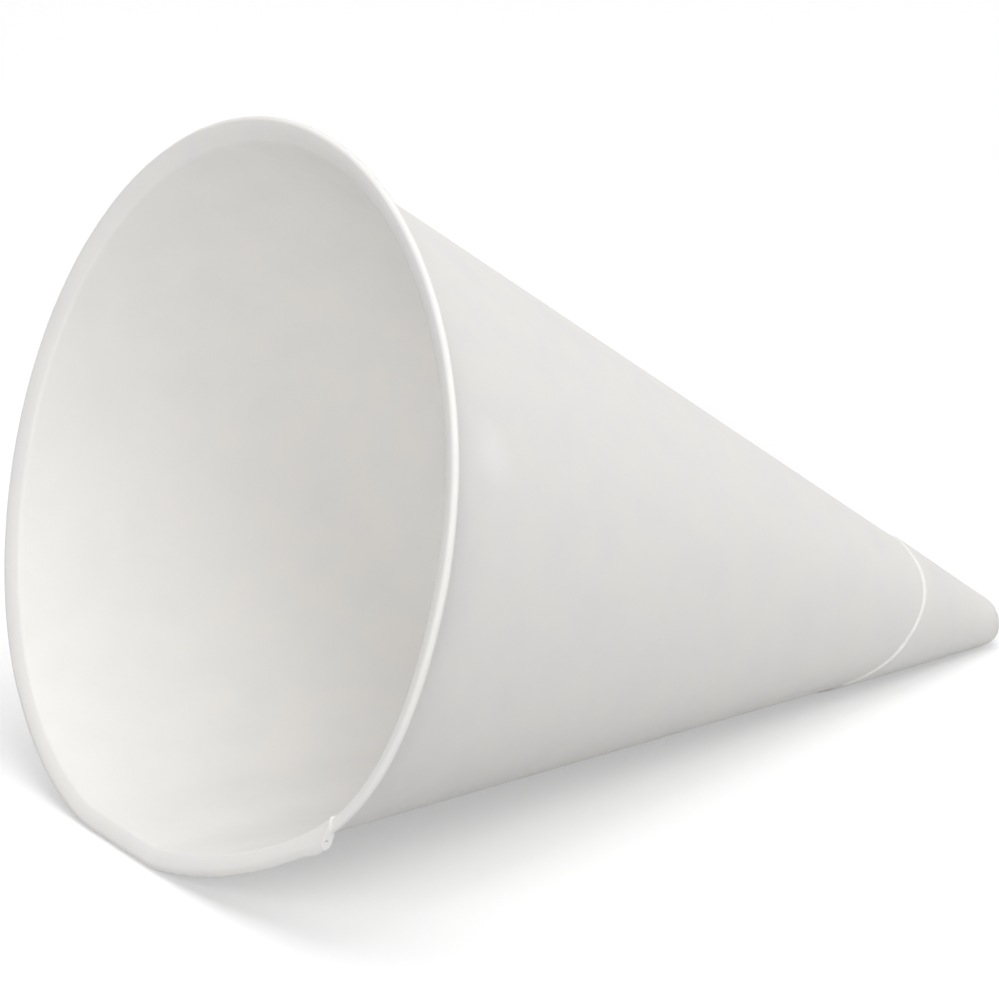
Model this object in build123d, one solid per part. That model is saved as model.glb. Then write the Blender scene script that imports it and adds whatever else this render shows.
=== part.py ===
from build123d import *
import math
import os

# A paper cone cup lying on its side: one blank wound into a cone, lapped and glued,
# wrapped round its closed tip, with the rim curled outwards into a flattened roll.
#
# The cup is drawn upright on its axis, with the point that the inner faces aim at in the
# origin, and laid down at the end. Ring angles are in degrees from the generatrix that
# the cup rests on, growing towards the near side (-Y). The blank is followed by its
# winding angle, which starts at its inner edge and runs down and round the far side.

# Driving dimensions, in millimetres and degrees

PAPER = 0.22                # one ply
MOUTH_RADIUS = 35.0         # inside the mouth, mean
HALF_ANGLE = 19.6           # of the inner cone
INNER_EDGE_ANGLE = 50.5     # where the blank starts, on the lower near side
LAP_ANGLE = 101.0           # how far the outer ply runs past the inner edge
SEAM_REACH = 19.0           # from the point of the cone to the blank's straight outer edge
SEAM_RIM_GAP = 3.0          # from the crease of the rim down to where that edge starts

OVAL = 1.00                 # the mouth is out of round: half the difference of its axes
OVAL_ANGLE = 77.0
EGG = 0.45                  # three-sided share of the same squash
EGG_ANGLE = 89.0
SQUARENESS = 0.16           # four-sided share
SQUARENESS_ANGLE = 66.0
CORNER_BULGE = 2.28         # mouth pushed out beside the blank's inner edge
CORNER_ANGLE = 62.0
CORNER_SPREAD = 22.0
REST_DEPTH = 0.50           # the rim is pressed flat where the cup rests on it
REST_SPREAD = 14.0          # ring angle that the flat spot keeps within

LIP_WIDTH = 2.1             # flattened roll, from crease to outer edge
LIP_HOLLOW = 0.41           # clear height inside it, where it is rolled from one ply
LAP_LIP_HOLLOW = 0.32       # where it is rolled from two
LIP_CROWN = 0.38            # height of its top over the crease
LIP_FULLNESS = 0.85         # share of that height already reached at mid width
LIP_TAIL_GAP = 0.15         # between the roll's end and the wall
LIP_FLARE = 0.9             # extra width at the loose end of the roll
LIP_FLARE_ANGLE = 14.0
LIP_TUCK = 0.85             # width lost where the roll starts again
LIP_TUCK_ANGLE = 42.0

TIP_RADIUS = 2.8            # outside, rounded
TIP_PLIES = 2.7             # plies that are pressed together there
TIP_FLOOR = 7.2             # inner end of the hollow, over the inner point of the cone
TIP_BURY = 0.12             # how far the solid end lies inside the skin round it
TIP_STEP = 0.01             # how far its rounded end stays short of the skin's own

CROWDING = 1.4              # over one, sections stand closer where a stretch begins
SINGLE_SPLITS = (0.38, 0.73)  # shares of the single-ply turn where a stretch ends

# Values worked out from them

SLOPE_SIN = math.sin(math.radians(HALF_ANGLE))
SLOPE_COS = math.cos(math.radians(HALF_ANGLE))
MOUTH_HEIGHT = MOUTH_RADIUS * SLOPE_COS / SLOPE_SIN
SLANT = MOUTH_RADIUS / SLOPE_SIN
LIP_HEIGHT = 2 * PAPER + LIP_HOLLOW
LAP_LIP_HEIGHT = 4 * PAPER + LAP_LIP_HOLLOW
TIP_CENTRE = (TIP_RADIUS - TIP_PLIES * PAPER) / SLOPE_SIN
SKIN_END = TIP_CENTRE - TIP_RADIUS * SLOPE_SIN
SKIN_END_RADIUS = TIP_RADIUS * SLOPE_COS
EDGE_TURN = math.degrees(math.acos(SEAM_REACH / (SLANT - SEAM_RIM_GAP))) / SLOPE_SIN
NEAREST_WINDING = LAP_ANGLE + EDGE_TURN


def fade(distance, reach):
    """One at no distance, falling smoothly to nothing at the reach."""
    share = min(abs(distance) / reach, 1.0)
    return 0.5 + 0.5 * math.cos(math.pi * share)


def ring_distance(ring, place):
    """Angle from a place on the ring, between -180 and 180 degrees."""
    return (ring - place + 180) % 360 - 180


def free_mouth_radius(ring):
    """Inner radius of the mouth at a ring angle, with its squash and its bulged corner."""
    radius = MOUTH_RADIUS
    radius += OVAL * math.cos(math.radians(2 * (ring - OVAL_ANGLE)))
    radius += EGG * math.cos(math.radians(3 * (ring - EGG_ANGLE)))
    radius += SQUARENESS * math.cos(math.radians(4 * (ring - SQUARENESS_ANGLE)))
    corner = ring_distance(ring, CORNER_ANGLE) / CORNER_SPREAD
    return radius + CORNER_BULGE * math.exp(-(corner**2))


def mouth_radius(ring):
    """Inner radius of the mouth, with the spot pressed flat where the rim rests."""
    radius = free_mouth_radius(ring)
    away = ring_distance(ring, 0)
    if abs(away) < REST_SPREAD:
        reach = free_mouth_radius(0) + LIP_WIDTH - REST_DEPTH
        radius = min(radius, reach / math.cos(math.radians(away)) - LIP_WIDTH)
    return radius


def seam_distance(winding):
    """Distance from the cone's point to the blank's straight outer edge, rolled flat."""
    turned = math.radians((winding - NEAREST_WINDING) * SLOPE_SIN)
    return SEAM_REACH / math.cos(turned)


def lip_size(winding, lapped):
    """Width and height of the rolled lip at a winding angle."""
    if lapped:
        return LIP_WIDTH + LIP_FLARE * fade(winding, LIP_FLARE_ANGLE), LAP_LIP_HEIGHT
    return LIP_WIDTH - LIP_TUCK * fade(360 - winding, LIP_TUCK_ANGLE), LIP_HEIGHT


def section(winding, lapped):
    """Closed outline of the paper in the half plane at a winding angle, as a wire."""
    ring = INNER_EDGE_ANGLE - winding
    ply = PAPER * (2 if lapped else 1)
    inner = PAPER * winding / 360
    outer = inner + ply
    edge = seam_distance(winding + 360 if lapped else winding)
    tilt = math.atan2(mouth_radius(ring), MOUTH_HEIGHT)
    along = Vector(math.sin(tilt), math.cos(tilt))
    across = Vector(math.cos(tilt), -math.sin(tilt))

    def at_height(offset, height):
        """Point at this height on the line that lies at an offset outside the cone."""
        return along * ((height - offset * across.Y) / along.Y) + across * offset

    crease = at_height(inner, MOUTH_HEIGHT)
    width, height = lip_size(winding, lapped)
    bend = height / 2
    turn = Vector(crease.X + width - bend, crease.Y + LIP_CROWN - bend)
    top_end = turn + Vector(0, bend)
    nose = turn + Vector(bend, 0)
    under_end = turn - Vector(0, bend)
    inside_high = top_end - Vector(0, ply)
    inside_nose = nose - Vector(ply, 0)
    inside_low = under_end + Vector(0, ply)
    tail = Vector(at_height(outer, inside_low.Y).X + LIP_TAIL_GAP, under_end.Y)
    tail_top = Vector(tail.X, inside_low.Y)
    armpit = at_height(outer, crease.Y + LIP_CROWN / 2 - ply)
    crown = Vector((crease.X + top_end.X) / 2, crease.Y + LIP_CROWN * LIP_FULLNESS)
    under_crown = Vector((armpit.X + inside_high.X) / 2, crown.Y - ply)
    edge_upper = along * edge + across * outer
    edge_lower = along * edge + across * (outer + PAPER)
    skin_low = Vector(SKIN_END_RADIUS, SKIN_END)
    skin_in = Vector(at_height(inner, SKIN_END).X, SKIN_END)
    lines = [
        Line(skin_in, crease),
        ThreePointArc(crease, crown, top_end),
        ThreePointArc(top_end, nose, under_end),
        Line(under_end, tail),
        Line(tail, tail_top),
        Line(tail_top, inside_low),
        ThreePointArc(inside_low, inside_nose, inside_high),
        ThreePointArc(inside_high, under_crown, armpit),
        Line(armpit, edge_upper),
        Line(edge_upper, edge_lower),
        Line(edge_lower, skin_low),
        Line(skin_low, skin_in),
    ]
    heading = math.radians(180 + ring)
    outward = Vector(math.cos(heading), math.sin(heading), 0)
    half_plane = Plane(origin=(0, 0, 0), x_dir=outward, z_dir=outward.cross(Vector(0, 0, 1)))
    return half_plane.location * Wire(lines)


def steps(first, last, count, ease=1.0):
    """Winding angles from first to last, crowded at the first where ease is over one."""
    return [first + (last - first) * (step / count) ** ease for step in range(count + 1)]


def lap_windings():
    """Winding angles through the lap, close together where it starts and where it rests."""
    resting = INNER_EDGE_ANGLE - REST_SPREAD
    rested = INNER_EDGE_ANGLE + REST_SPREAD
    before = steps(0, resting, 7, CROWDING)
    beside = steps(resting, rested, 8)
    after = steps(rested, LAP_ANGLE, 4)
    return before + beside[1:] + after[1:]


def stretch(windings, lapped=False):
    """The paper between the first and the last of these winding angles."""
    return Solid.make_loft([section(winding, lapped) for winding in windings])


def solid_tip():
    """The pressed end: a rounded plug whose sides lie inside the skin."""
    radius = TIP_RADIUS - TIP_STEP
    side_low = Vector(SKIN_END_RADIUS - TIP_STEP, SKIN_END)
    floor_radius = TIP_FLOOR * SLOPE_SIN / SLOPE_COS + PAPER + TIP_BURY
    side_high = Vector(floor_radius, TIP_FLOOR)
    lowest = Vector(0, TIP_CENTRE - radius)
    half_way = math.radians(45 - HALF_ANGLE / 2)
    knee = Vector(radius * math.cos(half_way), TIP_CENTRE - radius * math.sin(half_way))
    outline = [
        ThreePointArc(lowest, knee, side_low),
        Line(side_low, side_high),
        Line(side_high, Vector(0, TIP_FLOOR)),
        Line(Vector(0, TIP_FLOOR), lowest),
    ]
    return revolve(Plane.XZ * make_face(Wire(outline).edges()), Axis.Z)


def cone_cup():
    """The whole cup as one solid, upright."""
    single = 360 - LAP_ANGLE
    middle, late = [LAP_ANGLE + single * share for share in SINGLE_SPLITS]
    cup = solid_tip()
    cup += stretch(lap_windings(), lapped=True)
    cup += stretch(steps(LAP_ANGLE, middle, 12, CROWDING))
    cup += stretch(steps(middle, late, 8))
    cup += stretch(steps(360, late, 9, CROWDING))
    return cup


def laid_down(cup):
    """Turns the upright cup onto its side, mouth to -X, and sets it on the ground."""
    reach = mouth_radius(0) + LIP_WIDTH - LAP_LIP_HEIGHT / 2
    rise = MOUTH_HEIGHT + LIP_CROWN - LAP_LIP_HEIGHT / 2 - TIP_CENTRE
    drop = LAP_LIP_HEIGHT / 2 - TIP_RADIUS
    lean = math.atan2(reach, rise) + math.asin(drop / math.hypot(reach, rise))
    lying = Rotation(0, math.degrees(lean) - 90, 0) * cup
    box = lying.bounding_box()
    return Pos(-box.center().X, -box.center().Y, -box.min.Z) * lying


if __name__ == "__main__":
    os.makedirs("parts", exist_ok=True)
    cup = laid_down(cone_cup())
    export_step(cup, "parts/cone_cup.step")
    print("solids", len(cup.solids()), "volume", cup.volume, cup.bounding_box())
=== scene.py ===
"""Looks of the cone paper cup: the wound sheet, its cut fibres, the paper, the light and the camera."""

import logging
import math
from dataclasses import dataclass, fields
from enum import Enum
from typing import Any, Callable, Mapping, Optional, Sequence, Union

import bpy
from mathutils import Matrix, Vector


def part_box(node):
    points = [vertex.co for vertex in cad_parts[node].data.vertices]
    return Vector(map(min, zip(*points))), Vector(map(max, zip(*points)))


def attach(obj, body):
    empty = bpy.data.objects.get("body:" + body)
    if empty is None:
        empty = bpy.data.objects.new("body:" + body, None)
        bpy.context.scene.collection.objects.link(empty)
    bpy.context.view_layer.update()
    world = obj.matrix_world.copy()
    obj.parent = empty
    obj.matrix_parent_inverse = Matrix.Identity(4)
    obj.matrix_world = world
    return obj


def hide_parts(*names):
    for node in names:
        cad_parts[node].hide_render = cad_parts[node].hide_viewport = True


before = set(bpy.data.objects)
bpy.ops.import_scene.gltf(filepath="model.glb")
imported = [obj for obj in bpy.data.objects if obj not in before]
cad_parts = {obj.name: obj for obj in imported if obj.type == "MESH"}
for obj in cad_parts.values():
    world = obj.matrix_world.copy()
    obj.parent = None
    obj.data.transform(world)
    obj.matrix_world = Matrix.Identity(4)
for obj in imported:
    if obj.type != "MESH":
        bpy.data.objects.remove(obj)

MM = 0.001
IMAGE_SIZE = 999
NODE = "cone_cup"
BODY = "root"

Tree = bpy.types.NodeTree
Socket = bpy.types.NodeSocket
Material = bpy.types.Material
Piece = bpy.types.Object

log = logging.getLogger("cone_cup")


def linear_colour(sheet_hex: str) -> tuple[float, ...]:
    """Turns an sRGB hex value into a linear colour.

    Args:
        sheet_hex: The colour as #rrggbb.

    Returns:
        Linear red, green, blue and an alpha of one.
    """
    channels = [int(sheet_hex[start : start + 2], 16) / 255 for start in (1, 3, 5)]
    linear = [c / 12.92 if c <= 0.04045 else ((c + 0.055) / 1.055) ** 2.4 for c in channels]
    return (*linear, 1.0)


def add_node(tree: Tree, kind: str, inputs: Optional[Mapping[Any, Any]] = None, **settings: str) -> Any:
    """Adds a node with its settings and what its inputs get.

    Args:
        tree: The tree that gets the node.
        kind: The node's type name.
        inputs: A value, a socket, a Field or a list of sockets for each input, by index or name.
        settings: Attributes of the node.

    Returns:
        The new node's outputs, by index or name.
    """
    node = tree.nodes.new(kind)
    for name, value in settings.items():
        setattr(node, name, value)
    for key, value in (inputs or {}).items():
        for source in value if isinstance(value, list) else [value]:
            source = source.socket if isinstance(source, Field) else source
            if isinstance(source, Socket):
                tree.links.new(source, node.inputs[key])
            else:
                node.inputs[key].default_value = source
    return node.outputs


def noise(tree: Tree, place: Socket, size: float, detail: float = 2.0) -> "Field":
    """Smooth noise at a place.

    Args:
        tree: The tree that gets the node.
        place: The socket that gives the place.
        size: Rough size of a wave, in the place's own unit.
        detail: How many finer layers are added.

    Returns:
        The noise, from about none to one.
    """
    drawn = {"Vector": place, "Scale": 1 / size, "Detail": detail}
    return Field(tree, add_node(tree, "ShaderNodeTexNoise", drawn)[0])


def map_range(tree: Tree, value: Any, old: Sequence[float], new: Sequence[float], **settings: str) -> Socket:
    """Maps a value from its old range to a new one."""
    ends = {"From Min": old[0], "From Max": old[1], "To Min": new[0], "To Max": new[1]}
    return add_node(tree, "ShaderNodeMapRange", {"Value": value, **ends}, **settings)[0]


def mix_colours(tree: Tree, part: Any, first: Any, second: Any) -> Socket:
    """Mixes two colours.

    Args:
        tree: The tree that gets the node.
        part: The share of the second colour.
        first: A colour, as a hex value or a socket.
        second: The other colour.

    Returns:
        The socket with the mixed colour.
    """
    ends = [linear_colour(colour) if isinstance(colour, str) else colour for colour in (first, second)]
    mixed = add_node(tree, "ShaderNodeMix", {"Factor": part, 6: ends[0], 7: ends[1]}, data_type="RGBA")
    return mixed[2]


def new_object(name: str, data: Any) -> Piece:
    """Adds an object to the scene.

    Args:
        name: The object's name.
        data: Its mesh, curve, light or camera.

    Returns:
        The object, at the origin.
    """
    made = bpy.data.objects.new(name, data)
    bpy.context.scene.collection.objects.link(made)
    return made


def new_material(name: str) -> tuple[Material, Tree]:
    """Makes a material without nodes.

    Args:
        name: The material's name.

    Returns:
        The material and its empty tree.
    """
    material = bpy.data.materials.new(name)
    material.use_nodes = True
    material.node_tree.nodes.clear()
    return material, material.node_tree


def sign(operation: str, turned: bool = False) -> Callable[["Field", "Number"], "Field"]:
    """Makes a Field's method for a sign such as + or /, with the other value first where turned."""
    step = -1 if turned else 1
    return lambda *values: work_out(operation, *values[::step])


class Field:
    """A number that a tree works out at every point, written like a number."""

    def __init__(self, tree: Tree, socket: Socket) -> None:
        """Keeps the tree and the socket that gives the number."""
        self.tree = tree
        self.socket = socket

    __add__ = __radd__ = sign("ADD")
    __mul__ = __rmul__ = sign("MULTIPLY")
    __sub__ = sign("SUBTRACT")
    __rsub__ = sign("SUBTRACT", turned=True)
    __truediv__ = sign("DIVIDE")
    __rtruediv__ = sign("DIVIDE", turned=True)

    def __neg__(self) -> "Field":
        """The number turned negative."""
        return work_out("MULTIPLY", self, -1.0)


Number = Union[float, Field]


def smooth_minimum(first: float, second: float, reach: float) -> float:
    """The smaller number, rounded off as the math node does where the two are close."""
    close = max(reach - abs(first - second), 0.0) / reach
    return min(first, second) - close**3 * reach / 6


PLAIN_MATH = {
    "SINE": math.sin,
    "COSINE": math.cos,
    "ARCTAN2": math.atan2,
    "EXPONENT": math.exp,
    "SQRT": math.sqrt,
    "ABSOLUTE": abs,
    "MINIMUM": min,
    "MAXIMUM": max,
    "FLOORED_MODULO": lambda value, step: value % step,
    "SMOOTH_MIN": smooth_minimum,
}


def work_out(operation: str, *values: Number) -> Any:
    """Works out one step of a formula, as a node where any value is a Field.

    Args:
        operation: The name of the math node's operation.
        values: One to three numbers or Fields.

    Returns:
        A Field, or a plain number where all values are plain.
    """
    made = [value for value in values if isinstance(value, Field)]
    if not made:
        return PLAIN_MATH[operation](*values)
    tree = made[0].tree
    return Field(tree, add_node(tree, "ShaderNodeMath", dict(enumerate(values)), operation=operation)[0])


def sine(degrees: Number) -> Any:
    """Sine of an angle in degrees."""
    return work_out("SINE", degrees * (math.pi / 180))


def cosine(degrees: Number) -> Any:
    """Cosine of an angle in degrees."""
    return work_out("COSINE", degrees * (math.pi / 180))


def between(value: Number, low: Number, high: Number) -> Any:
    """The value, kept between a low and a high one."""
    return work_out("MINIMUM", work_out("MAXIMUM", value, low), high)


def share(value: Number, start: Number, end: Number) -> Any:
    """How far a value has come from a start to an end, kept between none and one."""
    return between((value - start) / (end - start), 0.0, 1.0)


def fade(distance: Number, reach: Number) -> Any:
    """One at no distance, falling smoothly to nothing at the reach."""
    part = work_out("MINIMUM", work_out("ABSOLUTE", distance) / reach, 1.0)
    return 0.5 + 0.5 * work_out("COSINE", part * math.pi)


def rise(value: Number, start: Number, end: Number) -> Any:
    """Nothing up to the start, rising smoothly to one at the end."""
    return 0.5 - 0.5 * work_out("COSINE", share(value, start, end) * math.pi)


def ring_distance(ring: Number, place: Number) -> Any:
    """Angle from a place on the ring, between -180 and 180 degrees."""
    return work_out("FLOORED_MODULO", ring - place + 180.0, 360.0) - 180.0


@dataclass(frozen=True)
class CupSizes:
    """Sizes of the cup in millimetres and degrees, as plain numbers or as a tree's named inputs."""

    # The cone and its paper
    paper: Number = 0.22
    ply_gap: Number = 0.008
    mouth_radius: Number = 35.0
    half_angle: Number = 19.6

    # Where the blank starts, how far it laps, and its outer edge round the tip
    inner_edge_angle: Number = 55.6
    lap_angle: Number = 101.0
    wrap_end: Number = 360.0
    seam_reach: Number = 19.5
    seam_nearest: Number = 132.0
    seam_curl: Number = 0.55
    seam_least_turn: Number = -14.0
    seam_most_turn: Number = 46.0
    seam_rim_gap: Number = 3.0
    edge_bevel: Number = 0.30
    edge_lift: Number = -0.03
    edge_lift_reach: Number = 2.2

    # The mouth, out of round, with a bulged corner and the spot that it rests on
    oval: Number = 1.00
    oval_angle: Number = 77.0
    egg: Number = 0.45
    egg_angle: Number = 89.0
    squareness: Number = 0.16
    squareness_angle: Number = 66.0
    corner_bulge: Number = 2.28
    corner_angle: Number = 62.0
    corner_spread: Number = 22.0
    rest_depth: Number = 0.50
    rest_softness: Number = 0.42
    rest_range: Number = 40.0

    # The rolled lip
    fold_reach: Number = 0.28
    lip_width: Number = 2.1
    lip_hollow: Number = 0.41
    lap_lip_hollow: Number = 0.32
    lip_crown: Number = 0.38
    lip_fullness: Number = 0.68
    lip_unevenness: Number = 0.10
    lip_dish: Number = 0.12
    lip_sink: Number = 0.45
    lip_sink_angle: Number = 203.0
    lip_sink_spread: Number = 62.0
    lip_tail_gap: Number = 0.35

    # Its loose end, where it changes from two plies to one, and where the last ply nests in it
    lip_flare: Number = 0.3
    lip_flare_angle: Number = 14.0
    lip_raised_angle: Number = 26.0
    lip_fill_angle: Number = 5.0
    lip_fill_start: Number = 0.1
    lip_fill_end: Number = 0.5
    end_slant: Number = 3.0
    end_slant_start: Number = 0.7
    end_slant_angle: Number = 9.0
    thinning_before: Number = 7.0
    thinning_after: Number = 2.0
    nesting_angle: Number = 24.0
    lip_tuck: Number = 0.85
    lip_tuck_angle: Number = 42.0
    crown_drop: Number = 0.58
    crown_drop_angle: Number = 36.0

    # The closed tip
    tip_radius: Number = 2.8
    tip_plies: Number = 2.7
    tip_floor: Number = 7.2
    tip_spread_reach: Number = 14.0
    plug_sunk: Number = 1.2
    plug_overlap: Number = 0.05

    # The slight wave of the wall
    wave_depth: Number = 0.09
    wave_start: Number = 15.0
    wave_full: Number = 55.0
    wave_middle: Number = 60.0
    wave_reach: Number = 45.0

    @property
    def mouth_height(self) -> Any:
        """Height of the crease over the point of the inner cone, along the axis."""
        return self.mouth_radius * cosine(self.half_angle) / sine(self.half_angle)

    @property
    def lip_height(self) -> Any:
        """Height of the roll where it is rolled from one ply."""
        return 2.0 * self.paper + self.lip_hollow

    @property
    def lap_lip_height(self) -> Any:
        """Height of the roll where it is rolled from two plies."""
        return 4.0 * self.paper + self.lap_lip_hollow

    @property
    def tip_centre(self) -> Any:
        """Height of the middle of the rounded tip."""
        return (self.tip_radius - self.tip_plies * self.paper) / sine(self.half_angle)

    @property
    def pressed(self) -> Any:
        """Share of its thickness that a ply keeps in the pressed tip."""
        turns = (360.0 + self.lap_angle + self.wrap_end) / 360.0 + 1.0
        return self.tip_plies / turns

    def free_mouth(self, ring: Number) -> Any:
        """Inner radius of the mouth at a ring angle, with its squash and bulged corner."""
        corner = ring_distance(ring, self.corner_angle) / self.corner_spread
        return (
            self.mouth_radius
            + self.oval * cosine((ring - self.oval_angle) * 2.0)
            + self.egg * cosine((ring - self.egg_angle) * 3.0)
            + self.squareness * cosine((ring - self.squareness_angle) * 4.0)
            + self.corner_bulge * work_out("EXPONENT", corner * corner * -1.0)
        )

    def mouth(self, ring: Number) -> Any:
        """Inner radius of the mouth, with the spot pressed flat where the rim rests."""
        near = between(ring_distance(ring, 0.0), self.rest_range * -1.0, self.rest_range)
        reach = self.free_mouth(0.0) + self.lip_width - self.rest_depth
        pressed = reach / cosine(near) - self.lip_width
        return work_out("SMOOTH_MIN", self.free_mouth(ring), pressed, self.rest_softness)

    def seam_distance(self, ring: Number) -> Any:
        """Distance from the cone's point to the blank's outer edge, which climbs on the underside."""
        turned = (self.seam_nearest - ring) * self.seam_curl
        return self.seam_reach / cosine(between(turned, self.seam_least_turn, self.seam_most_turn))


@dataclass(frozen=True)
class Point2D:
    """A place or direction in the half plane: out from the axis, and along it."""

    out: Number
    up: Number

    def __add__(self, other: "Point2D") -> "Point2D":
        """Sum of two places."""
        return Point2D(self.out + other.out, self.up + other.up)

    def __sub__(self, other: "Point2D") -> "Point2D":
        """Way from the other place to this one."""
        return Point2D(self.out - other.out, self.up - other.up)

    @property
    def length(self) -> Any:
        """Length of the way."""
        return work_out("SQRT", self.out * self.out + self.up * self.up)

    @property
    def across(self) -> "Point2D":
        """The direction turned a quarter to the right, from up to out."""
        return Point2D(self.up, self.out * -1.0)

    def scaled(self, by: Number) -> "Point2D":
        """The same direction at another length."""
        return Point2D(self.out * by, self.up * by)

    def unit(self) -> "Point2D":
        """The same direction at length one."""
        length = self.length
        return Point2D(self.out / length, self.up / length)


def choose_place(length: Field, end: float, below: Point2D, past: Point2D) -> Point2D:
    """Takes one of two places by whether a point lies past a stretch's end.

    Args:
        length: The point's share of the section's length.
        end: The share at which the stretch ends.
        below: The place up to the end.
        past: The place past it.

    Returns:
        The chosen place.
    """
    switch = {"Switch": work_out("GREATER_THAN", length, end)}
    chosen = []
    for ways in ({"False": below.out, "True": past.out}, {"False": below.up, "True": past.up}):
        picked = add_node(length.tree, "GeometryNodeSwitch", {**switch, **ways}, input_type="FLOAT")
        chosen.append(Field(length.tree, picked[0]))
    return Point2D(*chosen)


class SheetPart(Enum):
    """The two stretches of the blank, told apart by how far up the cone they reach."""

    FULL = "from the tip to the rolled rim"
    WRAP = "from the tip to the straight outer edge"


@dataclass(frozen=True)
class Rows:
    """How many rows of the sheet lie on each stretch of its section."""

    tip: int = 9
    wall: int = 26
    fold: int = 6
    crown: int = 15
    bend: int = 14
    tail: int = 4

    def counts(self, part: SheetPart) -> list[int]:
        """Rows of each stretch that this part of the blank has."""
        every = list(vars(self).values())
        return every[:2] if part is SheetPart.WRAP else every

    def bounds(self, part: SheetPart) -> list[float]:
        """Shares of the sheet's length at which its stretches end, but for the last one."""
        counts = self.counts(part)
        return [sum(counts[: place + 1]) / sum(counts) for place in range(len(counts) - 1)]

    def total(self, part: SheetPart) -> int:
        """Number of rows of points over the whole section."""
        return sum(self.counts(part)) + 1


@dataclass(frozen=True)
class SheetPoint:
    """A point of the slab, with what its place in every stretch of the section depends on.

    Its face is nothing on the inner side of the paper and one on the outer. inner is how far the
    ply's inner face lies outside the inner cone, depth how far the point lies behind that face,
    and dish how far the crease is sunk. tilt and along are the wall's.
    """

    part: SheetPart
    bounds: Sequence[float]
    winding: Field
    ring: Field
    length: Field
    face: Field
    tilt: Field
    along: Point2D
    inner: Field
    depth: Field
    dish: Field
    crease_distance: Field


@dataclass(frozen=True)
class Roll:
    """Sizes of the rolled lip at one point.

    filled is how far its hollow is filled. skin and nested are one where the roll has two plies,
    and where the last ply lies inside the roll's start.
    """

    width: Field
    height: Field
    crown: Field
    filled: Field
    skin: Field
    nested: Field


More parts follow.
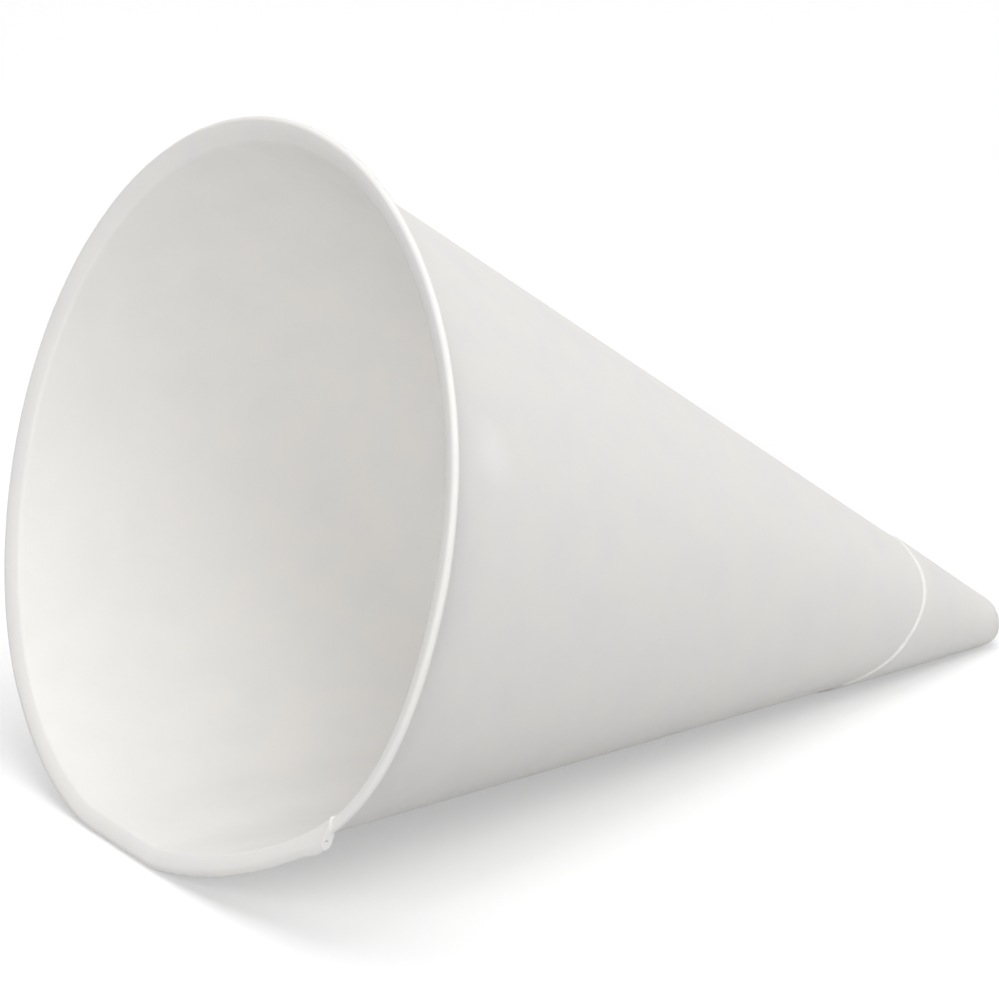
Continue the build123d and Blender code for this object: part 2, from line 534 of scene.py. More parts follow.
class WoundSheet:
    """The blank, wound into a cone in a tree of nodes: one slab of paper bent by a rule."""

    columns_per_degree = 1.0
    wrap_columns_per_degree = 0.7
    plug_sides = 72
    plug_rows = 2
    merge_distance = 0.001 * MM
    soft_edge_angle = math.radians(38)
    wave_scales = (1.5, 0.012)
    unevenness_scales = (4.2, 0.0)

    def __init__(self, sizes: CupSizes, rows: Rows) -> None:
        """Keeps the sizes, and starts a tree that has them as its named inputs."""
        self.sizes = sizes
        self.rows = rows
        self.tree = bpy.data.node_groups.new("wound_paper_sheet", "GeometryNodeTree")
        names = [size.name.replace("_", " ") for size in fields(CupSizes)]
        sockets = [(name, "Float") for name in names + ["lean", "move x", "move y", "move z"]]
        add_sockets(self.tree, sockets + [("paper finish", "Material")], "sheet")
        self.given = add_node(self.tree, "NodeGroupInput")
        self.cup = CupSizes(*[Field(self.tree, self.given[name]) for name in names])

    def unevenness(self, ring: Number, along: Number, scales: tuple[float, float]) -> Field:
        """Smooth unevenness that closes round the ring.

        Args:
            ring: Ring angle.
            along: Distance along the wall in millimetres.
            scales: How many waves fit round the ring, about, and waves per millimetre.

        Returns:
            A value between about -0.5 and 0.5.
        """
        around = {0: cosine(ring) * scales[0], 1: sine(ring) * scales[0], 2: along * scales[1]}
        place = add_node(self.tree, "ShaderNodeCombineXYZ", around)
        return noise(self.tree, place[0], 1.0, 1.0) - 0.5

    def sheet_point(self, part: SheetPart, winding: Field, length: Field, face: Field) -> SheetPoint:
        """Works out what the stretches of a point's section share.

        Args:
            part: The stretch of the blank.
            winding: Winding angle of the point.
            length: Share of the way from the tip to the free end of the section.
            face: Nothing on the inner face of the paper and one on the outer.

        Returns:
            The point with its section.
        """
        cup = self.cup
        ring = cup.inner_edge_angle - winding
        under = winding
        if part is SheetPart.WRAP:
            turned = winding - 360.0 - cup.lap_angle
            ring = cup.inner_edge_angle - cup.lap_angle + turned
            under = 720.0 + cup.lap_angle - turned
        tilt = work_out("ARCTAN2", cup.mouth(ring), cup.mouth_height) * (180 / math.pi)
        along = Point2D(sine(tilt), cosine(tilt))
        inner = cup.paper * under / 360.0
        depth = (cup.paper - cup.ply_gap) * face
        sunk = fade(ring_distance(ring, cup.lip_sink_angle), cup.lip_sink_spread)
        dish = cup.lip_dish + cup.lip_sink * sunk
        crease = (cup.mouth_height + inner * along.out - dish) / along.up
        bounds = self.rows.bounds(part)
        return SheetPoint(part, bounds, winding, ring, length, face, tilt, along, inner, depth, dish, crease)

    def tip_place(self, point: SheetPoint) -> Point2D:
        """Place on the rounded end, where every ply follows a ball round the same centre.

        Args:
            point: The point with its section.

        Returns:
            The place in the half plane.
        """
        turn = share(point.length, 0.0, point.bounds[0]) * (90.0 - point.tilt)
        centre = self.cup.tip_centre
        reach = centre * point.along.out + (point.inner + point.depth) * self.cup.pressed
        return Point2D(reach * sine(turn), centre - reach * cosine(turn))

    def wall_place(self, point: SheetPoint) -> Point2D:
        """Place on the straight wall of the cone.

        Args:
            point: The point with its section.

        Returns:
            The place in the half plane.
        """
        cup = self.cup
        start = cup.tip_centre * point.along.up
        if point.part is SheetPart.WRAP:
            way = share(point.length, point.bounds[0], 1.0)
            rim = point.crease_distance - cup.seam_rim_gap
            end = work_out("MINIMUM", cup.seam_distance(point.ring), rim) - cup.edge_bevel * point.face
        else:
            way = share(point.length, point.bounds[0], point.bounds[1])
            end = point.crease_distance - cup.fold_reach
        distance = start + (end - start) * (way * (2.0 - way))
        spread = rise(distance, start, start + cup.tip_spread_reach)
        wave = self.unevenness(point.ring, distance, self.wave_scales) * cup.wave_depth
        wave = wave * rise(distance, cup.wave_start, cup.wave_full)
        outward = (point.inner + point.depth) * (cup.pressed + (1.0 - cup.pressed) * spread)
        outward = outward + wave * fade(distance - cup.wave_middle, cup.wave_reach)
        if point.part is SheetPart.WRAP:
            lifted = 1.0 - share(end - distance, 0.0, cup.edge_lift_reach)
            outward = outward + cup.edge_lift * lifted * lifted
        return point.along.scaled(distance) + point.along.across.scaled(outward)

    def roll(self, point: SheetPoint) -> Roll:
        """Sizes of the roll, from its loose end round to the ply that nests in its start.

        Args:
            point: The point with its section.

        Returns:
            The sizes.
        """
        # The lap's inner ply is the skin of a thick roll, and its outer ply lies inside that skin
        cup, winding = self.cup, point.winding
        thinning = rise(winding, cup.lap_angle - cup.thinning_before, cup.lap_angle + cup.thinning_after)
        skin = 1.0 - thinning
        past_turn = winding - 360.0
        nested = rise(past_turn, 0.0, cup.nesting_angle)
        thick = cup.lap_lip_height * skin + cup.lip_height * thinning
        height = thick * (1.0 - nested) + (cup.lap_lip_height - 2.0 * cup.paper) * nested
        flare = cup.lip_flare * fade(winding, cup.lip_flare_angle)
        tuck = cup.lip_tuck * fade(past_turn, cup.lip_tuck_angle)
        uneven = self.unevenness(point.ring, 0.0, self.unevenness_scales) * cup.lip_unevenness
        width = cup.lip_width + flare - tuck - 2.0 * cup.paper * nested + uneven
        raised = cup.paper * fade(winding, cup.lip_raised_angle)
        dropped = fade(past_turn, cup.crown_drop_angle)
        narrowed = 2.0 * cup.paper / cup.lip_width * nested * (1.0 - dropped)
        kept = 1.0 - cup.crown_drop * dropped - narrowed
        crown = (cup.lip_crown + point.dish) * kept + raised - cup.paper * nested
        hollow = height / 2.0 - cup.paper + 2.0 * cup.ply_gap
        filled = point.face * hollow * fade(winding, cup.lip_fill_angle)
        return Roll(width, height, crown, filled, skin, nested)

    def rolled_lip(self, point: SheetPoint, below: Point2D) -> tuple[Point2D, Field]:
        """The rolled rim, from the crease over its crown, round its bend and back to the wall.

        Args:
            point: The point with its section.
            below: Places of the points under the rim.

        Returns:
            The place of every point in the half plane, and the ring angle.
        """
        cup, roll = self.cup, self.roll(point)
        along, length, bounds = point.along, point.length, point.bounds
        bend = roll.height / 2.0
        crease = along.scaled(point.crease_distance) + along.across.scaled(point.inner)

        # Crown, as a shallow arc over its chord
        top = crease + Point2D(roll.width - bend + point.dish * along.out / along.up, roll.crown)
        chord = top - crease
        forth = chord.unit()
        lift = Point2D(-forth.up, forth.out)
        bulge = roll.crown * (cup.lip_fullness - 0.5) * 4.0
        fold_share = cup.fold_reach / chord.length
        crown_share = fold_share + (1.0 - fold_share) * share(length, bounds[2], bounds[3])
        crown_skin = crease + chord.scaled(crown_share)
        crown_skin = crown_skin + lift.scaled(bulge * crown_share * (1.0 - crown_share))
        crown_way = (chord + lift.scaled(bulge * (1.0 - 2.0 * crown_share))).unit()

        # Fold at the crease, as a curve from the wall's direction to the crown's
        fold_turn = share(length, bounds[1], bounds[2])
        fold_from = crease - along.scaled(cup.fold_reach)
        fold_to = crease + (chord + lift.scaled(bulge)).unit().scaled(cup.fold_reach)
        rest = 1.0 - fold_turn
        fold_skin = fold_from.scaled(rest * rest) + crease.scaled(2.0 * rest * fold_turn)
        fold_skin = fold_skin + fold_to.scaled(fold_turn * fold_turn)
        fold_way = ((crease - fold_from).scaled(rest) + (fold_to - crease).scaled(fold_turn)).unit()

        # Half round bend, and the tail that comes back under the crown
        bend_turn = share(length, bounds[3], bounds[4]) * 180.0
        centre = top - Point2D(0.0, bend)
        bend_way = Point2D(cosine(bend_turn), -sine(bend_turn))
        bend_skin = centre + Point2D(sine(bend_turn), cosine(bend_turn)).scaled(bend)
        tail_up = top.up - roll.height
        plies = 1.0 + roll.skin * (1.0 - roll.nested)
        wall_out = tail_up * along.out / along.up + (point.inner + cup.paper * plies) / along.up
        tail_way = (top.out - wall_out - cup.lip_tail_gap) * share(length, bounds[4], 1.0)
        tail_skin = Point2D(top.out - tail_way, tail_up)

        place = below
        crown_filled = roll.filled * rise(crown_share, cup.lip_fill_start, cup.lip_fill_end)
        stretches = (
            (bounds[1], fold_skin, fold_way, point.depth),
            (bounds[2], crown_skin, crown_way, point.depth + crown_filled),
            (bounds[3], bend_skin, bend_way, point.depth + roll.filled),
            (bounds[4], tail_skin, Point2D(-1.0, 0.0), point.depth + roll.filled),
        )
        for start, skin_place, way, under in stretches:
            behind = Point2D(under * way.up, under * way.out * -1.0)
            place = choose_place(length, start, place, skin_place + behind)

        # The loose end is cut at a slant, further back the further out it lies
        slanted = share(place.out - crease.out, cup.end_slant_start, cup.lip_width + cup.lip_flare)
        return place, point.ring - cup.end_slant * slanted * fade(point.winding, cup.end_slant_angle)

    def stretch(self, part: SheetPart) -> Socket:
        """One stretch of the blank as a bent slab.

        Args:
            part: The stretch of the blank.

        Returns:
            The socket that gives its mesh, upright and in millimetres.
        """
        columns = round((360.0 + self.sizes.lap_angle) * self.columns_per_degree) + 1
        first, last = 0.0, 360.0 + self.cup.lap_angle
        if part is SheetPart.WRAP:
            columns = round(self.sizes.wrap_end * self.wrap_columns_per_degree) + 1
            first, last = last, last + self.cup.wrap_end
        counts = {"Vertices X": columns, "Vertices Y": self.rows.total(part), "Vertices Z": 2}
        slab = add_node(self.tree, "GeometryNodeMeshCube", {"Size": (1, 1, 1), **counts})
        where = add_node(self.tree, "GeometryNodeInputPosition")
        apart = add_node(self.tree, "ShaderNodeSeparateXYZ", {0: where[0]})
        around, length, face = [Field(self.tree, apart[place]) + 0.5 for place in range(3)]
        point = self.sheet_point(part, first + (last - first) * around, length, face)
        place = choose_place(length, point.bounds[0], self.tip_place(point), self.wall_place(point))
        ring = point.ring
        if part is SheetPart.FULL:
            place, ring = self.rolled_lip(point, place)
        turned = {0: place.out * cosine(ring) * -1.0, 1: place.out * sine(ring) * -1.0, 2: place.up}
        bent = add_node(self.tree, "ShaderNodeCombineXYZ", turned)
        inputs = {"Geometry": slab["Mesh"], "Position": bent[0]}
        return add_node(self.tree, "GeometryNodeSetPosition", inputs)[0]

    def plug(self) -> Socket:
        """Pressed paper inside the closed tip, up to the floor of the hollow."""
        cup = self.cup
        depth = cup.tip_floor - cup.tip_centre + cup.plug_sunk
        slope = sine(cup.half_angle) / cosine(cup.half_angle)
        sizes = {
            "Vertices": self.plug_sides,
            "Side Segments": self.plug_rows,
            "Radius Top": cup.tip_floor * slope + cup.plug_overlap,
            "Radius Bottom": (cup.tip_floor - depth) * slope + cup.plug_overlap,
            "Depth": depth,
        }
        cone = add_node(self.tree, "GeometryNodeMeshCone", sizes, fill_type="NGON")
        place = add_node(self.tree, "ShaderNodeCombineXYZ", {2: cup.tip_floor - depth})
        inputs = {"Geometry": cone["Mesh"], "Translation": place[0]}
        return add_node(self.tree, "GeometryNodeTransform", inputs)[0]

    def finish_tree(self) -> None:
        """Joins the stretches, lays the cup down, softens its faces and gives it its paper."""
        tree, given = self.tree, self.given
        meshes = [self.plug(), self.stretch(SheetPart.WRAP), self.stretch(SheetPart.FULL)]
        joined = add_node(tree, "GeometryNodeJoinGeometry", {0: meshes})
        turn = {1: Field(tree, given["lean"]) * (math.pi / 180)}
        moves = {place: given[f"move {axis}"] for place, axis in enumerate("xyz")}
        lie = {
            "Geometry": joined[0],
            "Rotation": add_node(tree, "ShaderNodeCombineXYZ", turn)[0],
            "Translation": add_node(tree, "ShaderNodeCombineXYZ", moves)[0],
            "Scale": (MM, MM, MM),
        }
        laid = add_node(tree, "GeometryNodeTransform", lie)
        near = {"Geometry": laid[0], "Distance": self.merge_distance}
        merged = add_node(tree, "GeometryNodeMergeByDistance", near)
        angle = Field(tree, add_node(tree, "GeometryNodeInputMeshEdgeAngle")["Unsigned Angle"])
        soft = work_out("LESS_THAN", angle, self.soft_edge_angle)
        faces = add_node(tree, "GeometryNodeSetShadeSmooth", {"Geometry": merged[0]}, domain="FACE")
        smooth = {"Geometry": faces[0], "Shade Smooth": soft}
        edges = add_node(tree, "GeometryNodeSetShadeSmooth", smooth, domain="EDGE")
        end_tree(tree, edges[0], given["paper finish"])


def add_sockets(tree: Tree, inputs: Sequence[tuple[str, str]], output: str) -> None:
    """Gives a tree its named inputs and its one output.

    Args:
        tree: The tree.
        inputs: Name and kind of each input.
        output: Name of the geometry that comes out.
    """
    for name, kind in inputs:
        tree.interface.new_socket(name=name, in_out="INPUT", socket_type=f"NodeSocket{kind}")
    tree.interface.new_socket(name=output, in_out="OUTPUT", socket_type="NodeSocketGeometry")


def end_tree(tree: Tree, mesh: Socket, finish: Socket) -> None:
    """Ends a tree with real geometry in its material.

    Args:
        tree: The tree.
        mesh: The socket that gives the geometry.
        finish: The socket that gives the material.
    """
    real = add_node(tree, "GeometryNodeRealizeInstances", {0: mesh})
    painted = add_node(tree, "GeometryNodeSetMaterial", {"Geometry": real[0], "Material": finish})
    add_node(tree, "NodeGroupOutput", {0: painted[0]})


@dataclass(frozen=True)
class LyingPlace:
    """How far the upright cup is turned, in degrees, and moved, in metres, to lie in the frame."""

    lean: float
    move: Vector

    @classmethod
    def on_frame(cls, sizes: CupSizes, low: Vector, high: Vector) -> "LyingPlace":
        """Works the place out from the sizes and the box of the frame's cup.

        Args:
            sizes: The cup's sizes.
            low: Lowest corner of the cup in the frame, in metres.
            high: Its highest corner.

        Returns:
            The place.
        """
        reach = sizes.mouth(0.0) + sizes.lip_width - sizes.lap_lip_height / 2
        climb = sizes.mouth_height + sizes.lip_crown - sizes.lap_lip_height / 2 - sizes.tip_centre
        drop = sizes.lap_lip_height / 2 - sizes.tip_radius
        lean = math.atan2(reach, climb) + math.asin(drop / math.hypot(reach, climb))
        turn = lean - math.pi / 2
        tip_out, tip_up = math.sin(turn) * sizes.tip_centre, math.cos(turn) * sizes.tip_centre
        rims = [cls.rim_side(sizes, float(ring)) for ring in range(360)]
        x = high.x - (tip_out + sizes.tip_radius) * MM
        y = (low.y + high.y) / 2 - (max(rims) + min(rims)) / 2 * MM
        z = low.z - (tip_up - sizes.tip_radius) * MM
        return cls(math.degrees(turn), Vector((x, y, z)))

    @staticmethod
    def rim_side(sizes: CupSizes, ring: float) -> float:
        """How far to the far side the rim reaches.

        Args:
            sizes: The cup's sizes.
            ring: Ring angle.

        Returns:
            The reach in millimetres.
        """
        winding = (sizes.inner_edge_angle - ring) % 360
        offset = sizes.paper * winding / 360 / cosine(sizes.half_angle)
        flare = sizes.lip_flare * fade(winding, sizes.lip_flare_angle)
        tuck = sizes.lip_tuck * fade(360 - winding, sizes.lip_tuck_angle)
        return -(sizes.mouth(ring) + offset + sizes.lip_width + flare - tuck) * sine(ring)

    def point(self, place: Point2D, ring: float) -> Vector:
        """Where a point of the upright cup lies in the frame.

        Args:
            place: The point in the half plane, in millimetres.
            ring: Ring angle.

        Returns:
            The point in metres.
        """
        flat, steep = cosine(self.lean), sine(self.lean)
        x, y = -place.out * cosine(ring), -place.out * sine(ring)
        return Vector((flat * x + steep * place.up, y, -steep * x + flat * place.up)) * MM + self.move


@dataclass(frozen=True)
class BleachedCupPaper:
    """Uncoated bleached cup paper, calendered: matt and bright, with a faint cloudy formation."""

    colour: str = "#f2f0ed"
    cloud_colour: str = "#efeeec"
    # Painted highlight: a paler colour for the spot beside the rim where light falls on a slight bump
    painted_highlight_colour: str = "#fbfaf8"
    painted_highlight_share: float = 0.6
    roughness: tuple[float, float] = (0.77, 0.87)
    cloud_size: float = 5.0
    cloud_detail: float = 3.0
    cloud_range: tuple[float, float] = (0.38, 0.68)
    rough_range: tuple[float, float] = (0.3, 0.7)
    fibre_length: float = 1.6
    fibre_width: float = 0.16
    fibre_depth: float = 0.012
    fibre_strength: float = 0.35
    fibre_turns: tuple[tuple[float, float, float], ...] = ((12.0, 8.0, 20.0), (-28.8, -19.2, -48.0))
    felt_size: float = 0.45
    felt_depth: float = 0.010
    felt_strength: float = 0.5
    refraction: float = 1.47
    shine: float = 0.35

    def fibres(self, tree: Tree, where: Socket) -> Field:
        """Long thin streaks in two directions, four times as wide as real fibres to show.

        Args:
            tree: The material's tree.
            where: The socket that gives the place in metres.

        Returns:
            The streaks' height.
        """
        width = 1 / (self.fibre_width * MM)
        streaks = []
        for turn in self.fibre_turns:
            turned = {"Vector": where, "Rotation": tuple(math.radians(angle) for angle in turn)}
            placed = add_node(tree, "ShaderNodeMapping", turned)
            drawn = {0: placed[0], 1: (1 / (self.fibre_length * MM), width, width)}
            stretched = add_node(tree, "ShaderNodeVectorMath", drawn, operation="MULTIPLY")
            streaks.append(noise(tree, stretched[0], 1.0))
        return streaks[0] + streaks[1]

    def build(self, highlight_spot: Vector, highlight_reach: float) -> Material:
        """Builds the paper's nodes.

        Args:
            highlight_spot: Middle of the painted highlight, a paler spot on the outer wall, in metres.
            highlight_reach: How far the painted highlight reaches, in metres.

        Returns:
            The material.
        """
        material, tree = new_material("bleached_cup_paper")
        where = add_node(tree, "ShaderNodeTexCoord")["Object"]

        # Formation: soft clouds a few millimetres wide, a shade cooler, where the pulp lies thinner
        clouds = noise(tree, where, self.cloud_size * MM, self.cloud_detail)
        clouded = map_range(tree, clouds, self.cloud_range, (0.0, 1.0))
        formed = mix_colours(tree, clouded, self.colour, self.cloud_colour)

        # Painted highlight: a paler colour for a spot on the outer face beside the rim, where light falls on
        # a slight bump
        apart = {0: where, 1: tuple(highlight_spot)}
        distance = add_node(tree, "ShaderNodeVectorMath", apart, operation="DISTANCE")["Value"]
        ends = ((0.0, highlight_reach), (self.painted_highlight_share, 0.0))
        near = map_range(tree, distance, *ends, interpolation_type="SMOOTHSTEP")
        highlighted = mix_colours(tree, near, formed, self.painted_highlight_colour)

        # Fibres, and the soft, fine dimples that the paper machine's felt leaves
        normal: dict[str, Socket] = {}
        for height, strength, depth in (
            (self.fibres(tree, where), self.fibre_strength, self.fibre_depth),
            (noise(tree, where, self.felt_size * MM), self.felt_strength, self.felt_depth),
        ):
            relief = {"Height": height, "Strength": strength, "Distance": depth * MM, **normal}
            normal = {"Normal": add_node(tree, "ShaderNodeBump", relief)[0]}
        finish = {
            "Base Color": highlighted,
            "Roughness": map_range(tree, clouds, self.rough_range, self.roughness),
            "IOR": self.refraction,
            "Specular IOR Level": self.shine,
            **normal,
        }
        paper = add_node(tree, "ShaderNodeBsdfPrincipled", finish)
        add_node(tree, "ShaderNodeOutputMaterial", {"Surface": paper[0]})
        return material


@dataclass(frozen=True)
class PulpFibre:
    """Loose pulp fibre on a cut edge: a white, matt fuzz that softens the edge's line."""

    colour: str = "#f6f5f2"
    shade_colour: str = "#e9e8e6"
    shade_size: float = 0.5
    roughness: float = 0.95
    shine: float = 0.2

    def build(self) -> Material:
        """Builds the fibre's nodes and returns the material."""
        material, tree = new_material("loose_pulp_fibre")
        where = add_node(tree, "ShaderNodeTexCoord")["Object"]
        shade = noise(tree, where, self.shade_size * MM)
        finish = {
            "Base Color": mix_colours(tree, shade, self.colour, self.shade_colour),
            "Roughness": self.roughness,
            "Specular IOR Level": self.shine,
        }
        fibre = add_node(tree, "ShaderNodeBsdfPrincipled", finish)
        add_node(tree, "ShaderNodeOutputMaterial", {"Surface": fibre[0]})
        return material


class EdgeFibres:
    """Short pulp fibres that stand out of the blank's cut edge."""

    per_metre = 9000.0
    length = 0.32 * MM
    thickness = 0.016 * MM
    shortest = 0.35
    sides = 3
    seed = 11

    def __init__(self, edge: Sequence[Vector], material: Material) -> None:
        """Keeps the points of the edge and the fibre's material."""
        self.edge = edge
        self.material = material

    def edge_curve(self) -> Piece:
        """The cut edge as an object with a poly curve, which the tree reads."""
        curve = bpy.data.curves.new("cut_edges", "CURVE")
        curve.dimensions = "3D"
        line = curve.splines.new("POLY")
        line.points.add(len(self.edge) - 1)
        for point, place in zip(line.points, self.edge):
            point.co = (*place, 1.0)
        return new_object("cone_cup_cut_fibres", curve)

    def tree(self) -> Tree:
        """Builds the tree that sets a fibre at each of many places along the edge."""
        group = bpy.data.node_groups.new("fibres_on_cut_edges", "GeometryNodeTree")
        lengths = [(name, "Float") for name in ("spacing", "fibre length", "fibre thickness")]
        inputs = [("edges", "Geometry"), *lengths, ("seed", "Int"), ("fibre finish", "Material")]
        add_sockets(group, inputs, "fibres")
        given = add_node(group, "NodeGroupInput")
        along = {"Curve": given["edges"], "Length": given["spacing"]}
        places = add_node(group, "GeometryNodeCurveToPoints", along, mode="LENGTH")
        shape = {
            "Vertices": self.sides,
            "Radius Top": 0.0,
            "Radius Bottom": given["fibre thickness"],
            "Depth": given["fibre length"],
        }
        fibre = add_node(group, "GeometryNodeMeshCone", shape)
        turns = {0: (-math.pi,) * 3, 1: (math.pi,) * 3, "Seed": given["seed"]}
        turned = add_node(group, "FunctionNodeRandomValue", turns, data_type="FLOAT_VECTOR")
        scales = {2: self.shortest, 3: 1.0, "Seed": given["seed"]}
        sized = add_node(group, "FunctionNodeRandomValue", scales, data_type="FLOAT")
        stand = {
            "Points": places[0],
            "Instance": fibre[0],
            "Rotation": turned[0],
            "Scale": sized[1],
        }
        stood = add_node(group, "GeometryNodeInstanceOnPoints", stand)
        end_tree(group, stood[0], given["fibre finish"])
        return group

    def build(self) -> Piece:
        """Builds the fibres as one plain mesh object."""
        settings = {
            "spacing": 1 / self.per_metre,
            "fibre length": self.length,
            "fibre thickness": self.thickness,
            "seed": self.seed,
            "fibre finish": self.material,
        }
        return as_mesh(self.edge_curve(), self.tree(), settings)


def as_mesh(holder: Piece, group: Tree, settings: Mapping[str, Any]) -> Piece:
    """Runs a tree on an object and keeps its result as a plain mesh.

    Args:
        holder: The object that the tree runs on, which goes.
        group: The tree.
        settings: The value of each of its named inputs.

    Returns:
        An object with the plain mesh, at the origin.
    """
    modifier = holder.modifiers.new(group.name, "NODES")
    modifier.node_group = group
    for item in group.interface.items_tree:
        if item.in_out == "INPUT" and item.name in settings:
            modifier[item.identifier] = settings[item.name]
    holder.update_tag()
    graph = bpy.context.evaluated_depsgraph_get()
    mesh = bpy.data.meshes.new_from_object(holder.evaluated_get(graph), depsgraph=graph)
    name = holder.name
    bpy.data.objects.remove(holder)
    mesh.name = name
    return new_object(name, mesh)


class PaperCup:
    """The whole cup: its sheet and the fibres on the sheet's cut edge."""

    # Place and reach of the painted highlight, a paler spot on the outer wall beside the rim
    highlight_ring = 117.4
    highlight_distance = 96.8
    highlight_plies = 1.84
    highlight_reach = 4.6 * MM
    fibre_turns = range(60, 350, 2)
    fibre_depth = 0.8

    def __init__(self, sizes: CupSizes) -> None:
        """Keeps the sizes and works out how the cup lies in the frame."""
        self.sizes = sizes
        low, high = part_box(NODE)
        self.place = LyingPlace.on_frame(sizes, Vector(low), Vector(high))

    def wall_point(self, ring: float, distance: float, plies: float) -> Vector:
        """A point on the wall in the frame.

        Args:
            ring: Ring angle.
            distance: Distance from the cone's point in millimetres.
            plies: How many plies lie between the inner cone and the point.

        Returns:
            The point in metres.
        """
        tilt = math.atan2(self.sizes.mouth(ring), self.sizes.mouth_height)
        offset = self.sizes.paper * plies
        out = distance * math.sin(tilt) + offset * math.cos(tilt)
        return self.place.point(Point2D(out, distance * math.cos(tilt) - offset * math.sin(tilt)), ring)

    def outer_edge(self) -> list[Vector]:
        """Points of the blank's outer edge, from the underside round the wrapped tip."""
        points = []
        for turned in self.fibre_turns:
            ring = self.sizes.inner_edge_angle - self.sizes.lap_angle + turned
            plies = (720.0 + self.sizes.lap_angle - turned) / 360 + self.fibre_depth
            distance = self.sizes.seam_distance(ring) - self.sizes.edge_bevel / 2
            points.append(self.wall_point(ring, distance, plies))
        return points

    def sheet(self, material: Material) -> Piece:
        """Builds the wound sheet.

        Args:
            material: The paper.

        Returns:
            The sheet as a plain mesh object.
        """
        wound = WoundSheet(self.sizes, Rows())
        wound.finish_tree()
        settings = {name.replace("_", " "): size for name, size in vars(self.sizes).items()}
        settings |= {f"move {axis}": move for axis, move in zip("xyz", self.place.move)}
        settings |= {"lean": self.place.lean, "paper finish": material}
        holder = new_object("cone_cup_sheet", bpy.data.meshes.new("cone_cup_sheet"))
        return as_mesh(holder, wound.tree, settings)

    def build(self) -> None:
        """Builds both pieces, lets them stand for the frame's cup and reports them."""
        # Middle of the painted highlight on the outer wall
        spot = self.wall_point(self.highlight_ring, self.highlight_distance, self.highlight_plies)
        sheet = self.sheet(BleachedCupPaper().build(spot, self.highlight_reach))
        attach(sheet, BODY)
        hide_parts(NODE)
        fibres = EdgeFibres(self.outer_edge(), PulpFibre().build()).build()
        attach(fibres, BODY)
        for piece in (sheet, fibres):
            triangles = sum(len(face.vertices) - 2 for face in piece.data.polygons)
            log.info("%s: %d vertices, %d triangles", piece.name, len(piece.data.vertices), triangles)


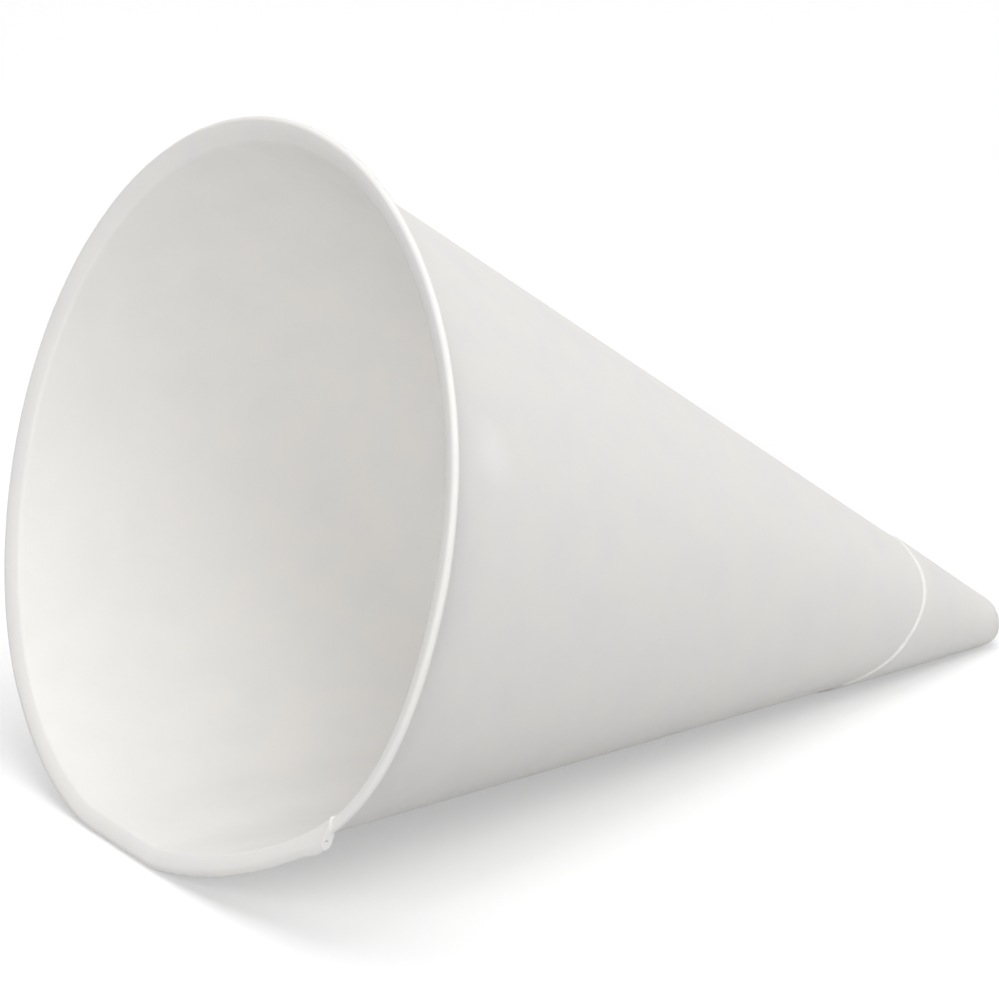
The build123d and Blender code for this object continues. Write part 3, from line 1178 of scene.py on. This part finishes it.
@dataclass(frozen=True)
class Studio:
    """Plain white floor, soft light from all round above it, and the photograph's camera."""

    floor_colour: str = "#d3d3d3"
    floor_glow: float = 0.41
    floor_half: float = 3.0
    sky_level: float = 0.01
    lamps: tuple[tuple[str, tuple[float, float, float], float], ...] = (
        ("overhead_soft_box", (0.0, 0.0, 1.0), 4.6),
        ("front_soft_box", (0.05, -0.55, 0.85), 2.8),
        ("front_left_soft_box", (-0.8, -0.6, 0.5), 6.1),
        ("front_right_soft_box", (0.8, -0.5, 0.5), 2.5),
        ("back_soft_box", (0.2, 0.7, 0.7), 1.9),
    )
    lamp_size: float = 0.7
    camera_azimuth: float = -32.340
    camera_elevation: float = 21.512
    camera_distance: float = 1085.1 * MM
    focal_pixels: float = 11072.6
    aim_pixel: tuple[float, float] = (627.16, 564.40)
    aim_height: float = 50.0
    sensor: float = 36.0
    nearest_seen: float = 0.05

    def background_share(self, tree: Tree) -> Field:
        """Tells rays that show the background from rays that light the scene.

        Args:
            tree: The tree that gets the nodes.

        Returns:
            One for rays from the camera, a mirror or glass, and nothing for others.
        """
        path = add_node(tree, "ShaderNodeLightPath")
        seen, mirrored, through = [
            Field(tree, path[f"Is {kind} Ray"]) for kind in ("Camera", "Glossy", "Transmission")
        ]
        return work_out("MAXIMUM", work_out("MAXIMUM", seen, mirrored), through)

    def world(self) -> None:
        """A white background that lights the cup at a lower level."""
        world = bpy.data.worlds.new("white_studio")
        world.use_nodes = True
        tree = world.node_tree
        tree.nodes.clear()
        level = map_range(tree, self.background_share(tree), (0.0, 1.0), (self.sky_level, 1.0))
        sky = add_node(tree, "ShaderNodeBackground", {"Color": (1, 1, 1, 1), "Strength": level})
        add_node(tree, "ShaderNodeOutputWorld", {"Surface": sky[0]})
        bpy.context.scene.world = world

    def floor(self) -> None:
        """A white sweep that keeps the cup's shadow."""
        mesh = bpy.data.meshes.new("studio_floor")
        half = self.floor_half
        corners = [(-half, -half, 0), (half, -half, 0), (half, half, 0), (-half, half, 0)]
        mesh.from_pydata(corners, [], [(0, 1, 2, 3)])
        floor = new_object("studio_floor", mesh)
        material, tree = new_material("white_sweep")
        matt = add_node(tree, "ShaderNodeBsdfDiffuse", {"Color": linear_colour(self.floor_colour)})
        level = self.background_share(tree) * self.floor_glow
        glow = add_node(tree, "ShaderNodeEmission", {"Color": (1, 1, 1, 1), "Strength": level})
        both = add_node(tree, "ShaderNodeAddShader", {0: matt[0], 1: glow[0]})
        add_node(tree, "ShaderNodeOutputMaterial", {"Surface": both[0]})
        mesh.materials.append(material)

    def light(self, target: Vector) -> None:
        """Wide soft boxes: one overhead, three in front and a weaker one at the back.

        Args:
            target: What the lamps point at.
        """
        for name, place, power in self.lamps:
            light = bpy.data.lights.new(name, "AREA")
            light.size = self.lamp_size
            light.energy = power
            lamp = new_object(name, light)
            lamp.location = place
            lamp.rotation_mode = "QUATERNION"
            lamp.rotation_quaternion = (target - lamp.location).to_track_quat("-Z", "Y")

    def camera(self, target: Vector) -> None:
        """The photograph's camera, turned so that its aim shows at the photograph's pixel.

        Args:
            target: The point on the cup's axis that the fitted camera looks at.
        """
        side, height = math.radians(self.camera_azimuth), math.radians(self.camera_elevation)
        flat = math.cos(height)
        back = Vector((math.sin(side) * flat, -math.cos(side) * flat, math.sin(height)))
        right = Vector((math.cos(side), math.sin(side), 0.0))
        up = back.cross(right)
        middle = IMAGE_SIZE / 2
        aside = (middle - self.aim_pixel[0]) / self.focal_pixels
        above = (self.aim_pixel[1] - middle) / self.focal_pixels
        look = -back + right * aside + up * above
        data = bpy.data.cameras.new("photo_camera")
        data.sensor_width = self.sensor
        data.lens = self.focal_pixels * self.sensor / IMAGE_SIZE
        data.clip_start = self.nearest_seen
        camera = new_object("photo_camera", data)
        camera.location = target + back * self.camera_distance
        camera.rotation_mode = "QUATERNION"
        level = (-back).to_track_quat("-Z", "Y")
        camera.rotation_quaternion = (-back).rotation_difference(look) @ level
        bpy.context.scene.camera = camera

    def build(self, cup: PaperCup) -> None:
        """Sets up the whole studio round the cup."""
        target = cup.place.point(Point2D(0.0, self.aim_height), 0.0)
        self.world()
        self.floor()
        self.light(target)
        self.camera(target)
        bpy.context.scene.view_settings.view_transform = "Standard"


def main() -> None:
    """Builds the cup and its studio."""
    logging.basicConfig(level=logging.INFO, format="%(name)s: %(message)s")
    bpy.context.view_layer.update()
    cup = PaperCup(CupSizes())
    cup.build()
    Studio().build(cup)


if __name__ == "__main__":
    main()
